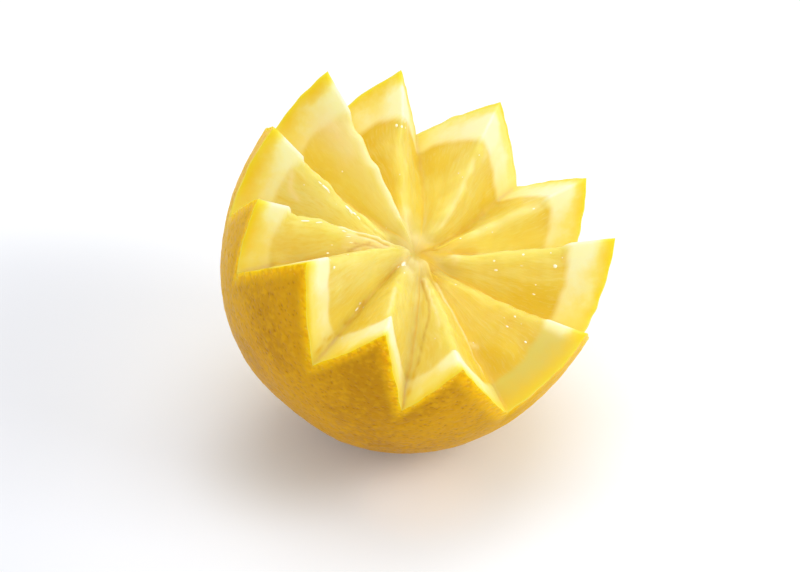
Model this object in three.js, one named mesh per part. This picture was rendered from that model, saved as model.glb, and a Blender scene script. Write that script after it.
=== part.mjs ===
// Half a lemon with its cut edge worked into a crown of pointed teeth.
// It lies tilted, on its flank and on the nipple of its blossom end.
// Millimetres, +Z up. The origin is the middle of the small flat under its flank.

import * as THREE from 'three';
import { mergeVertices, toCreasedNormals } from 'three/addons/utils/BufferGeometryUtils.js';

// The skin, seen from the middle of the fruit's widest ring with the blossom end down.
// Angles under the skin are in degrees, counted from the blossom end up.
const EQUATOR_RADIUS = 31;
const END_REACH = 36;
const FULLNESS = 2.2;
const NIPPLE = { height: 2.8, spread: 9.5, steepness: 3 };
const GROOVE = { depth: 0.7, angle: 16.5, width: 5 };
const FLAT_SIDE = { depth: 0.9, angle: 47, azimuth: -119, width: 15 };

// The crown. Its folds, the ridges and the notches, run out from one point, the middle
// of the cut, which lies this far below the widest ring.
const EQUATOR_HEIGHT = 1.5;

// Each fold in turn, counter-clockwise from above: its azimuth, the height at which it meets
// the skin above or below the middle of the cut, and how far it bows up and sways onward,
// at most, from the straight way between the two.
const FOLDS = [
  { azimuth: -189, height: 13.5, bow: -1.3, sway: 0 },
  { azimuth: -177, height: -3, bow: 0, sway: 0 },
  { azimuth: -166, height: 9.5, bow: 1.6, sway: 0 },
  { azimuth: -157, height: -3.5, bow: 1, sway: 0 },
  { azimuth: -137, height: 13, bow: 2.8, sway: 0 },
  { azimuth: -119, height: -2, bow: 1, sway: -0.4 },
  { azimuth: -106, height: 12, bow: 0.5, sway: -1 },
  { azimuth: -90, height: -2, bow: 0, sway: 1 },
  { azimuth: -81, height: 10.5, bow: 0, sway: 0.5 },
  { azimuth: -55, height: -2.5, bow: 0.7, sway: 0 },
  { azimuth: -33, height: 11, bow: -1.6, sway: 0 },
  { azimuth: -13, height: -2, bow: -1.2, sway: 0 },
  { azimuth: 7, height: 13, bow: -1, sway: 0 },
  { azimuth: 20, height: -1.5, bow: -1, sway: 0 },
  { azimuth: 33, height: 11.5, bow: -1.4, sway: 0 },
  { azimuth: 52, height: -3, bow: -0.8, sway: -1.2 },
  { azimuth: 71, height: 10.5, bow: -0.5, sway: -1.2 },
  { azimuth: 89, height: -4.5, bow: 0, sway: -1 },
  { azimuth: 105, height: 10, bow: 0.5, sway: 1 },
  { azimuth: 120, height: -3, bow: 1, sway: 0.3 },
  { azimuth: 136, height: 13, bow: 1.6, sway: 0 },
  { azimuth: 150, height: -3, bow: 0, sway: 0 },
];

// How the half lies: its axis leans this far from upright, towards this azimuth,
// and the middle of the cut stands here above the surface.
const LEAN = 26;
const LEAN_AZIMUTH = -33;
const CUT_CENTRE = new THREE.Vector3(0, 0, 34);

// Fineness of the facets: columns on each side of a tooth, rows of skin from the blossom
// end to the end of its groove and from there to the rim, and rings across the cut, each
// at its share of the way out.
const COLUMNS_PER_SIDE = 3;
const NIPPLE_ROWS = 10;
const FLANK_ROWS = 16;
const NIPPLE_ROWS_END = 25;
const CUT_RINGS = [0.85, 0.7, 0.55, 0.4, 0.27, 0.15, 0.06];

// These bring a sway and a bow to their stated length where they are full.
const SWAY_SCALE = 27 / 4;
const BOW_SCALE = Math.sqrt(27) / 2;

// Rounds that settle where a cut meets the skin.
const RIM_ROUNDS = 20;

// Edges sharper than this look sharp: the ridges, the notches and the rim.
const CREASE_ANGLE = 15;

const PEEL = { color: 0xe9b72c, roughness: 0.42, metalness: 0 };

const radians = THREE.MathUtils.degToRad;
const degrees = THREE.MathUtils.radToDeg;
const lerp = THREE.MathUtils.lerp;

// A unit direction from its angle above the blossom end and its azimuth.
function skinDirection(angle, azimuth) {
  const outward = Math.sin(radians(angle));
  return new THREE.Vector3(
    outward * Math.cos(radians(azimuth)),
    outward * Math.sin(radians(azimuth)),
    -Math.cos(radians(angle)),
  );
}

// A bump of unit height that fades to nothing past its width.
function bump(offset, width, steepness = 2) {
  return Math.exp(-(Math.abs(offset / width) ** steepness));
}

// Distance from the middle of the widest ring to the skin.
function skinReach(angle, azimuth) {
  const across = (Math.sin(radians(angle)) / EQUATOR_RADIUS) ** FULLNESS;
  const along = (Math.abs(Math.cos(radians(angle))) / END_REACH) ** FULLNESS;
  const body = (across + along) ** (-1 / FULLNESS);
  const nipple = NIPPLE.height * bump(angle, NIPPLE.spread, NIPPLE.steepness);
  const groove = GROOVE.depth * bump(angle - GROOVE.angle, GROOVE.width);
  const flatSide = skinDirection(FLAT_SIDE.angle, FLAT_SIDE.azimuth);
  const sideways = degrees(skinDirection(angle, azimuth).angleTo(flatSide));
  return body + nipple - groove - FLAT_SIDE.depth * bump(sideways, FLAT_SIDE.width);
}

// The fruit's radius at a height above the middle of the cut.
function radiusAt(height) {
  const along = Math.abs((height - EQUATOR_HEIGHT) / END_REACH) ** FULLNESS;
  return EQUATOR_RADIUS * (1 - along) ** (1 / FULLNESS);
}

// The folds in turn, round to the first again, each with its slope out from the middle.
function slopingFolds() {
  const folds = FOLDS.map((fold) => ({ ...fold, slope: fold.height / radiusAt(fold.height) }));
  folds.push({ ...folds[0], azimuth: folds[0].azimuth + 360 });
  return folds;
}

// The slope of the flat side between two folds, at an azimuth between them.
function slopeBetween(from, to, azimuth) {
  const before = Math.sin(radians(azimuth - from.azimuth));
  const after = Math.sin(radians(to.azimuth - azimuth));
  return (from.slope * after + to.slope * before) / Math.sin(radians(to.azimuth - from.azimuth));
}

// The angle above the blossom end at which a cut of this slope comes out of the skin.
function rimAngle(slope) {
  let radius = EQUATOR_RADIUS;
  for (let round = 0; round < RIM_ROUNDS; round++) {
    radius = radiusAt(slope * radius);
  }
  return degrees(Math.atan2(radius, EQUATOR_HEIGHT - slope * radius));
}

// One column of the half, a share of the way from one fold to the next.
function columnBetween(from, to, share) {
  const azimuth = lerp(from.azimuth, to.azimuth, share);
  return {
    azimuth,
    rim: rimAngle(slopeBetween(from, to, azimuth)),
    bow: lerp(from.bow, to.bow, share),
    sway: lerp(from.sway, to.sway, share),
  };
}

// The columns of the half in turn.
function halfColumns() {
  const folds = slopingFolds();
  const columns = [];
  for (let side = 0; side < folds.length - 1; side++) {
    for (let step = 0; step < COLUMNS_PER_SIDE; step++) {
      columns.push(columnBetween(folds[side], folds[side + 1], step / COLUMNS_PER_SIDE));
    }
  }
  return columns;
}

// The angle of a row of the skin in a column that ends at the rim.
function rowAngle(row, rim) {
  if (row <= NIPPLE_ROWS) return NIPPLE_ROWS_END * row / NIPPLE_ROWS;
  return lerp(NIPPLE_ROWS_END, rim, (row - NIPPLE_ROWS) / FLANK_ROWS);
}

// A point of the skin, with the middle of the cut as its origin.
function skinPoint(angle, azimuth) {
  const point = skinDirection(angle, azimuth).multiplyScalar(skinReach(angle, azimuth));
  point.z += EQUATOR_HEIGHT;
  return point;
}

// A point of the cut, a share of the way out from its middle to the rim. A bow and a sway
// are full a third of the way out, and a bow sets in faster than a sway.
function cutPoint(column, share) {
  const point = skinPoint(column.rim, column.azimuth).multiplyScalar(share);
  const sway = column.sway * SWAY_SCALE * share * (1 - share) ** 2;
  point.x -= sway * Math.sin(radians(column.azimuth));
  point.y += sway * Math.cos(radians(column.azimuth));
  point.z += column.bow * BOW_SCALE * Math.sqrt(share) * (1 - share);
  return point;
}

// Half a ball, closed by a flat lid, with each point drawn out to the skin or into the cut.
function halfGeometry() {
  const rows = NIPPLE_ROWS + FLANK_ROWS;
  const columns = halfColumns();
  const profile = [];
  for (let row = 0; row <= rows; row++) {
    const angle = Math.PI / 2 * row / rows;
    profile.push(new THREE.Vector2(Math.sin(angle), -Math.cos(angle)));
  }
  for (const share of [...CUT_RINGS, 0]) {
    profile.push(new THREE.Vector2(share, 0));
  }
  const geometry = new THREE.LatheGeometry(profile, columns.length);
  const position = geometry.attributes.position;
  for (let i = 0; i < position.count; i++) {
    const row = i % profile.length;
    const column = columns[Math.floor(i / profile.length) % columns.length];
    const point = row <= rows
      ? skinPoint(rowAngle(row, column.rim), column.azimuth)
      : cutPoint(column, profile[row].x);
    position.setXYZ(i, point.x, point.y, point.z);
  }
  return geometry;
}

// Leans the upright half to the way it lies and sets it down at its place.
function lay(geometry) {
  const azimuth = radians(LEAN_AZIMUTH);
  const hinge = new THREE.Vector3(-Math.sin(azimuth), Math.cos(azimuth), 0);
  geometry.applyQuaternion(new THREE.Quaternion().setFromAxisAngle(hinge, radians(LEAN)));
  geometry.translate(CUT_CENTRE.x, CUT_CENTRE.y, CUT_CENTRE.z);
}

// Presses the skin flat where it would reach below the surface.
function pressFlat(geometry) {
  const position = geometry.attributes.position;
  for (let i = 0; i < position.count; i++) {
    position.setZ(i, Math.max(position.getZ(i), 0));
  }
}

function makeLemonHalf() {
  const geometry = halfGeometry();
  lay(geometry);
  pressFlat(geometry);
  geometry.deleteAttribute('normal');
  geometry.deleteAttribute('uv');
  const creased = toCreasedNormals(mergeVertices(geometry), radians(CREASE_ANGLE));
  const lemonHalf = new THREE.Mesh(creased, new THREE.MeshStandardMaterial(PEEL));
  lemonHalf.name = 'lemon_half';
  return lemonHalf;
}

const lemon = new THREE.Group();
lemon.name = 'lemon';
lemon.add(makeLemonHalf());

export default lemon;
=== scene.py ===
"""Half a lemon, cut as a crown of pointed teeth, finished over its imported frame.

Shapes are worked out in millimetres in the fruit's own frame, whose origin is the middle of the
cut and whose +Z runs along the core away from the blossom end. Pose.lay sets them down in metres.
"""

import logging
import math
from dataclasses import dataclass
from enum import Enum
from typing import Any, Sequence

import bpy
import numpy as np
from mathutils import Euler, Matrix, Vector


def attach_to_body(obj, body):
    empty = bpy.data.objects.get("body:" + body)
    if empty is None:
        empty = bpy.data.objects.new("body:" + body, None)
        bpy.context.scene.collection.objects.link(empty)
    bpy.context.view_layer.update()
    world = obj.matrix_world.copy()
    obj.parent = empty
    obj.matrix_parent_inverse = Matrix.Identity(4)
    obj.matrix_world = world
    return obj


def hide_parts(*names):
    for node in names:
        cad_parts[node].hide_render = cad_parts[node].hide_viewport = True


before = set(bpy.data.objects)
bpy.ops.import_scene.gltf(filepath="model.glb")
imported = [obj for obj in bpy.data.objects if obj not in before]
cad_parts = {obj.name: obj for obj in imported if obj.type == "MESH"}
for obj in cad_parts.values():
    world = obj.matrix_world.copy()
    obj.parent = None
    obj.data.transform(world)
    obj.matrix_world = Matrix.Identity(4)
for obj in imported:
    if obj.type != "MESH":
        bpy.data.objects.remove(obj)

log = logging.getLogger("lemon")

MM = 0.001

# Stops along each leg of a seam, near enough to each other that its tint looks even.
SEAM_STOPS = 24
# What makes share * (1 - share)**2, and sqrt(share) * (1 - share), come to 1 at their fullest.
SWAY_PEAK = 27 / 4
BOW_PEAK = math.sqrt(27) / 2

Array = np.ndarray
Colour = tuple[float, float, float]


def srgb(red: int, green: int, blue: int) -> Colour:
    """Turn a colour as seen on screen into linear light.

    Args:
        red: Red, 0 to 255.
        green: Green, 0 to 255.
        blue: Blue, 0 to 255.

    Returns:
        The three linear components.
    """
    parts = []
    for value in (red, green, blue):
        share = value / 255
        parts.append(share / 12.92 if share <= 0.04045 else ((share + 0.055) / 1.055) ** 2.4)
    return (parts[0], parts[1], parts[2])


def bump(offset: Array, width: float, steepness: float = 2.0) -> Array:
    """A bump of unit height that fades to nothing past its width.

    Args:
        offset: Distances from the bump's middle.
        width: Distance at which it has faded to about a third.
        steepness: How square its shoulders are.

    Returns:
        The bump's height at each distance, 0 to 1.
    """
    return np.exp(-(np.abs(offset / width) ** steepness))


def smooth(values: Array, low: float, high: float) -> Array:
    """Ease from 0 at one value to 1 at another.

    Args:
        values: What to ease.
        low: Where the ramp starts.
        high: Where the ramp ends.

    Returns:
        The eased share, 0 to 1.
    """
    share = np.clip((values - low) / (high - low), 0, 1)
    return share * share * (3 - 2 * share)


def ripple(points: Array, wavelength: float, seed: int, waves: int = 9) -> Array:
    """Smooth random swell, the same on every run.

    Args:
        points: Places, one row each.
        wavelength: Rough distance between crests, in the places' own unit.
        seed: Picks one swell out of many.
        waves: How many plain waves are summed.

    Returns:
        The swell at each place, mostly within -1 to 1.
    """
    rng = np.random.default_rng(seed)
    total = np.zeros(len(points))
    for _ in range(waves):
        way = rng.normal(size=points.shape[1])
        way *= rng.uniform(0.7, 1.4) / np.linalg.norm(way)
        total += np.sin(points @ way * (2 * math.pi / wavelength) + rng.uniform(0, 2 * math.pi))
    return total / math.sqrt(waves / 2) / 1.6


@dataclass(frozen=True)
class Swell:
    """A smooth random swell: its height, its rough wavelength and the seed that picks it."""

    height: float
    length: float
    seed: int

    def at(self, points: Array) -> Array:
        """The swell at places that are given one a row, in the unit of its height."""
        return self.height * ripple(points, self.length, self.seed)


class Slot(Enum):
    """The names of the record's material slots."""

    PEEL = "peel"
    JUICE = "juice"


class Face(Enum):
    """Which finish a face of the half takes, by its place in the mesh's list of materials."""

    SKIN = 0
    CUT = 1


@dataclass(frozen=True)
class Skin:
    """The lemon's outer surface, as a reach from the middle of its widest ring.

    Angles are in degrees: an angle counts up from the blossom end, an azimuth turns round it.
    """

    equator_radius: float = 31.0
    equator_height: float = 1.5
    end_reach: float = 36.0
    fullness: float = 2.2
    nipple_height: float = 2.8
    nipple_spread: float = 9.5
    nipple_steepness: float = 3.0
    groove_depth: float = 0.7
    groove_angle: float = 16.5
    groove_width: float = 5.0
    flat_depth: float = 0.9
    flat_angle: float = 47.0
    flat_azimuth: float = -119.0
    flat_width: float = 15.0

    @staticmethod
    def direction(angle: Array, azimuth: Array) -> Array:
        """Unit directions from the middle of the widest ring.

        Args:
            angle: Angles above the blossom end.
            azimuth: Azimuths.

        Returns:
            One direction a row.
        """
        angle, azimuth = np.broadcast_arrays(np.radians(angle), np.radians(azimuth))
        outward = np.sin(angle)
        return np.stack([outward * np.cos(azimuth), outward * np.sin(azimuth), -np.cos(angle)], -1)

    def reach(self, angle: Array, azimuth: Array) -> Array:
        """Distance from the middle of the widest ring to the skin.

        Args:
            angle: Angles above the blossom end.
            azimuth: Azimuths.

        Returns:
            The distances, in millimetres.
        """
        ways = self.direction(angle, azimuth)
        across = (np.hypot(ways[..., 0], ways[..., 1]) / self.equator_radius) ** self.fullness
        along = (np.abs(ways[..., 2]) / self.end_reach) ** self.fullness
        body = (across + along) ** (-1 / self.fullness)
        nipple = self.nipple_height * bump(angle, self.nipple_spread, self.nipple_steepness)
        groove = self.groove_depth * bump(angle - self.groove_angle, self.groove_width)
        flat = self.direction(np.array(self.flat_angle), np.array(self.flat_azimuth))
        sideways = np.degrees(np.arccos(np.clip(ways @ flat, -1, 1)))
        return body + nipple - groove - self.flat_depth * bump(sideways, self.flat_width)

    def point(self, angle: Array, azimuth: Array) -> Array:
        """Points of the skin.

        Args:
            angle: Angles above the blossom end.
            azimuth: Azimuths.

        Returns:
            One point a row, from the middle of the cut.
        """
        points = self.direction(angle, azimuth) * self.reach(angle, azimuth)[..., None]
        points[..., 2] += self.equator_height
        return points

    def radius_at(self, height: Array) -> Array:
        """The fruit's radius at heights above the middle of the cut.

        Args:
            height: Heights, in millimetres.

        Returns:
            The radii, in millimetres.
        """
        along = np.abs((height - self.equator_height) / self.end_reach) ** self.fullness
        return self.equator_radius * (1 - along) ** (1 / self.fullness)


@dataclass(frozen=True)
class Fold:
    """One ridge or notch of the cut, how thick the pith is along it and how ripe the flesh.

    Its height is that of its outer end over the middle of the cut. On the way out it may bow up
    or down and sway sideways. Lengths are in millimetres.
    """

    azimuth: float
    height: float
    bow: float = 0.0
    sway: float = 0.0
    pith: float = 6.0
    ripe: float = 0.3


FOLDS = (
    Fold(-189, 13.5, bow=-1.3, pith=7.4, ripe=0),
    Fold(-177, -3, pith=6.3, ripe=0.1),
    Fold(-166, 9.5, bow=1.6, pith=6.3, ripe=0),
    Fold(-157, -3.5, bow=1, pith=5.6, ripe=0.1),
    Fold(-137, 13, bow=2.8, pith=5.8, ripe=0.08),
    Fold(-119, -2, bow=1, sway=-0.4, pith=7.1, ripe=0.2),
    Fold(-106, 12, bow=0.5, sway=-1, pith=6.9),
    Fold(-90, -2, sway=1, pith=5.8, ripe=0.05),
    Fold(-81, 10.5, sway=0.5, pith=5, ripe=0.2),
    Fold(-55, -2.5, bow=0.7, pith=5.3, ripe=1),
    Fold(-33, 11, bow=-1.6, pith=7.2, ripe=0.85),
    Fold(-13, -2, bow=-1.2, pith=6.4, ripe=0.62),
    Fold(7, 13, bow=-1, pith=7.8, ripe=0.12),
    Fold(20, -1.5, bow=-1, pith=6.6, ripe=0.05),
    Fold(33, 11.5, bow=-1.4, pith=7.3),
    Fold(52, -3, bow=-0.8, sway=-1.2, pith=6.8),
    Fold(71, 10.5, bow=-0.5, sway=-1.2, pith=7.6),
    Fold(89, -4.5, sway=-1, pith=5.8, ripe=0.5),
    Fold(105, 10, bow=0.5, sway=1, pith=8.6, ripe=0.5),
    Fold(120, -3, bow=1, sway=0.3, pith=6.6),
    Fold(136, 13, bow=1.6, pith=8.6, ripe=0.08),
    Fold(150, -3, pith=5.8, ripe=0.24),
)


@dataclass(frozen=True)
class Crown:
    """The folded cut: flat sides between ridges and notches that all run from one middle.

    An edge is how far a fold is rounded to each side: sharp in the pith, softer in the pulp and
    at the core. The border is half the width of the change from pith to pulp, which wanders a
    little, and the lobe is how much thinner the pith is halfway between two folds.
    """

    skin: Skin
    folds: tuple[Fold, ...] = FOLDS
    rim_rounds: int = 20
    pith_edge: float = 0.15
    pulp_edge: float = 1.5
    rim_fade: float = 0.03
    pulp_drop: float = 0.4
    core_edge: float = 2.2
    core_radius: float = 3.4
    core_flat: float = 2.4
    least_radius: float = 0.1
    border: float = 0.6
    lobe: float = 0.9
    wander: tuple[Swell, ...] = (Swell(0.4, 0.28, 5), Swell(0.15, 0.09, 6))
    widest_spread: float = 80.0

    def _around(self) -> tuple[Array, Array, Array, Array]:
        """List the folds round to the first again.

        Returns:
            Their azimuths, slopes, bows and sways.
        """
        loop = [*self.folds, self.folds[0]]
        azimuths = np.array([f.azimuth for f in loop], float)
        azimuths[-1] += 360
        heights = np.array([f.height for f in loop], float)
        slopes = heights / self.skin.radius_at(heights)
        return azimuths, slopes, np.array([f.bow for f in loop]), np.array([f.sway for f in loop])

    def _side(self, azimuth: Array) -> tuple[Array, Array]:
        """Find the sides that azimuths fall in.

        Args:
            azimuth: Azimuths.

        Returns:
            Each azimuth wrapped to one turn, and the number of its side.
        """
        start = self.folds[0].azimuth
        wrapped = (azimuth - start) % 360 + start
        ends = self._around()[0]
        return wrapped, np.clip(np.searchsorted(ends, wrapped, side="right") - 1, 0, len(ends) - 2)

    def slope(self, azimuth: Array) -> Array:
        """The flat sides' slope out from the middle.

        Args:
            azimuth: Azimuths.

        Returns:
            Rise for each millimetre outward.
        """
        ends, slopes, _, _ = self._around()
        wrapped, side = self._side(azimuth)
        before = np.sin(np.radians(wrapped - ends[side]))
        after = np.sin(np.radians(ends[side + 1] - wrapped))
        whole = np.sin(np.radians(ends[side + 1] - ends[side]))
        return (slopes[side] * after + slopes[side + 1] * before) / whole

    def soft_slope(self, azimuth: Array, spread: Array, samples: int = 13) -> Array:
        """The slope averaged over a stretch of azimuth, which rounds every fold.

        Args:
            azimuth: Azimuths.
            spread: How far to each side the average reaches, in degrees.
            samples: How many slopes are averaged.

        Returns:
            Rise for each millimetre outward.
        """
        total = np.zeros(np.shape(azimuth))
        weight = 0.0
        for step in np.linspace(-1, 1, samples):
            share = 1 - step * step
            if share > 0:
                total += share * self.slope(azimuth + spread * step)
                weight += share
        return total / weight

    def lean_of(self, azimuth: Array) -> tuple[Array, Array]:
        """How far the cut bows up and sways sideways at its fullest.

        Args:
            azimuth: Azimuths.

        Returns:
            The bows and the sways, in millimetres.
        """
        ends, _, bows, sways = self._around()
        wrapped, _ = self._side(azimuth)
        return np.interp(wrapped, ends, bows), np.interp(wrapped, ends, sways)

    def _even(self) -> tuple[float, float]:
        """The slope and the bow averaged all the way round."""
        turn = np.arange(0.0, 360.0)
        return float(self.slope(turn).mean()), float(self.lean_of(turn)[0].mean())

    def flesh_of(self, azimuth: Array) -> tuple[Array, Array]:
        """How thick the pith is along the cut, and how ripe the flesh.

        Args:
            azimuth: Azimuths.

        Returns:
            The thicknesses, in millimetres, and the ripeness, 0 to 1.
        """
        loop = (*self.folds, self.folds[0])
        ends = self._around()[0]
        wrapped, side = self._side(azimuth)
        across = (wrapped - ends[side]) / (ends[side + 1] - ends[side])
        thick = np.interp(wrapped, ends, [f.pith for f in loop])
        thinner = self.lobe * 4 * across * (1 - across)
        return thick - thinner, np.interp(wrapped, ends, [f.ripe for f in loop])

    def rim_radius(self, azimuth: Array) -> Array:
        """Distance from the core to where the cut comes out of the skin.

        Args:
            azimuth: Azimuths.

        Returns:
            The distances, in millimetres.
        """
        slope = self.slope(azimuth)
        radius = np.full(np.shape(azimuth), self.skin.equator_radius)
        for _ in range(self.rim_rounds):
            radius = self.skin.radius_at(slope * radius)
        return radius

    def rim_angle(self, azimuth: Array) -> Array:
        """The angle above the blossom end at which the cut comes out of the skin.

        Args:
            azimuth: Azimuths.

        Returns:
            The angles, in degrees.
        """
        radius = self.rim_radius(azimuth)
        below = self.skin.equator_height - self.slope(azimuth) * radius
        return np.degrees(np.arctan2(radius, below))

    def fold_gaps(self, azimuth: Array, radius: Array) -> tuple[Array, Array]:
        """How far a place is from the nearest ridge and from the nearest notch.

        Args:
            azimuth: Azimuths.
            radius: Distances from the core, in millimetres.

        Returns:
            The two distances across the cut, in millimetres.
        """
        ends, slopes, _, _ = self._around()
        wrapped, side = self._side(azimuth)
        first = (wrapped - ends[side], slopes[side])
        second = (ends[side + 1] - wrapped, slopes[side + 1])
        run = np.radians(ends[side + 1] - ends[side])
        steep = np.hypot(1, (slopes[side + 1] - slopes[side]) / run)
        ridge = np.where(first[1] > second[1], first[0], second[0])
        notch = np.where(first[1] > second[1], second[0], first[0])
        return np.radians(ridge) * radius * steep, np.radians(notch) * radius * steep

    def pulp_share(self, azimuth: Array, share: Array) -> Array:
        """How far a place of the cut is pulp rather than pith.

        Args:
            azimuth: Azimuths.
            share: Shares of the way out from the middle to the rim.

        Returns:
            0 in the pith to 1 in the pulp.
        """
        rim = self.rim_radius(azimuth)
        length = rim * np.hypot(1, self.slope(azimuth))
        depth = (1 - share) * length
        around = np.stack([np.cos(np.radians(azimuth)), np.sin(np.radians(azimuth))], -1)
        flat = around.reshape(-1, 2)
        wander = np.sum([swell.at(flat) for swell in self.wander], axis=0)
        thick = self.flesh_of(azimuth)[0] + wander.reshape(np.shape(azimuth))
        return smooth(depth - thick, -self.border, self.border)

    def point(self, azimuth: Array, share: Array, finished: bool = True) -> Array:
        """Points of the cut.

        Args:
            azimuth: Azimuths.
            share: Shares of the way out from the middle to the rim.
            finished: Whether folds are rounded and the pulp lies lower than the pith.

        Returns:
            One point a row, from the middle of the cut.
        """
        azimuth, share = np.broadcast_arrays(np.asarray(azimuth, float), np.asarray(share, float))
        radius = self.rim_radius(azimuth) * share
        bow, sway = self.lean_of(azimuth)
        sway = sway * SWAY_PEAK * share * (1 - share) ** 2
        rise = BOW_PEAK * np.sqrt(share) * (1 - share)
        lift = bow * rise
        slope = self.slope(azimuth)
        if finished:
            pulp = self.pulp_share(azimuth, share)
            edge = self.pith_edge + (self.pulp_edge - self.pith_edge) * pulp
            edge = edge * smooth(1 - share, 0, self.rim_fade)
            edge = edge + self.core_edge * bump(radius, self.core_radius)
            spread = np.degrees(np.arctan2(edge, np.maximum(radius, self.least_radius)))
            slope = self.soft_slope(azimuth, np.minimum(spread, self.widest_spread))
            even_slope, even_bow = self._even()
            flat = bump(radius, self.core_flat)
            slope = slope + (even_slope - slope) * flat
            lift = lift + (even_bow - bow) * rise * flat - self.pulp_drop * pulp
        turn = np.radians(azimuth)
        across = np.cos(turn) * radius - np.sin(turn) * sway
        back = np.sin(turn) * radius + np.cos(turn) * sway
        return np.stack([across, back, slope * radius + lift], -1)


@dataclass(frozen=True)
class Pose:
    """How the half lies: its axis leans from upright, and its middle stands above the surface."""

    lean: float = 26.0
    lean_azimuth: float = -33.0
    centre: tuple[float, float, float] = (0.0, 0.0, 34.0)

    def turn(self) -> Array:
        """Work out the rotation from the fruit's frame to the way it lies.

        Returns:
            The rotation, as a matrix.
        """
        azimuth = math.radians(self.lean_azimuth)
        lean = math.radians(self.lean)
        hinge = np.array([-math.sin(azimuth), math.cos(azimuth), 0])
        cross = np.cross(np.eye(3), hinge)
        return np.eye(3) + math.sin(lean) * cross + (1 - math.cos(lean)) * cross @ cross

    def lay(self, points: Array) -> Array:
        """Lean points over, set them down and press flat what would reach under the surface.

        Args:
            points: Points in the fruit's frame, in millimetres.

        Returns:
            The points in the frame of the part, in metres.
        """
        laid = points @ self.turn().T + np.array(self.centre)
        laid[:, 2] = np.maximum(laid[:, 2], 0)
        return laid * MM

    def turned(self, ways: Array) -> Array:
        """Lean directions over.

        Args:
            ways: Directions in the fruit's frame.

        Returns:
            The directions in the frame of the part.
        """
        return ways @ self.turn().T


class Shade(Enum):
    """How a seam's colour differs from the flesh around it."""

    PALE = "pale"
    GOLDEN = "golden"
    DARK = "dark"
    PAINTED_LIGHT = "painted_light"


@dataclass(frozen=True)
class Seam:
    """A line across the cut that stands up or sinks in: a membrane, a crack, the core, a painted
    highlight or painted light.

    Its places are azimuths with shares of the way out. A rise below zero sinks.
    """

    places: tuple[tuple[float, float], ...]
    width: float
    rise: float
    shade: Shade
    strength: float

    def gap(self, crown: Crown, points: Array) -> Array:
        """Distance from points of the cut to the seam.

        Args:
            crown: The cut that it runs across.
            points: Points of the cut, in millimetres.

        Returns:
            The distances, in millimetres.
        """
        azimuth = np.array([place[0] for place in self.places], float)
        share = np.array([place[1] for place in self.places], float)
        legs = len(self.places) - 1
        stops = np.linspace(0, legs, SEAM_STOPS * legs)
        knots = np.arange(legs + 1)
        line = crown.point(np.interp(stops, knots, azimuth), np.interp(stops, knots, share))
        nearest = np.full(len(points), np.inf)
        for stop in line:
            nearest = np.minimum(nearest, np.linalg.norm(points - stop, axis=1))
        return nearest


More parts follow.
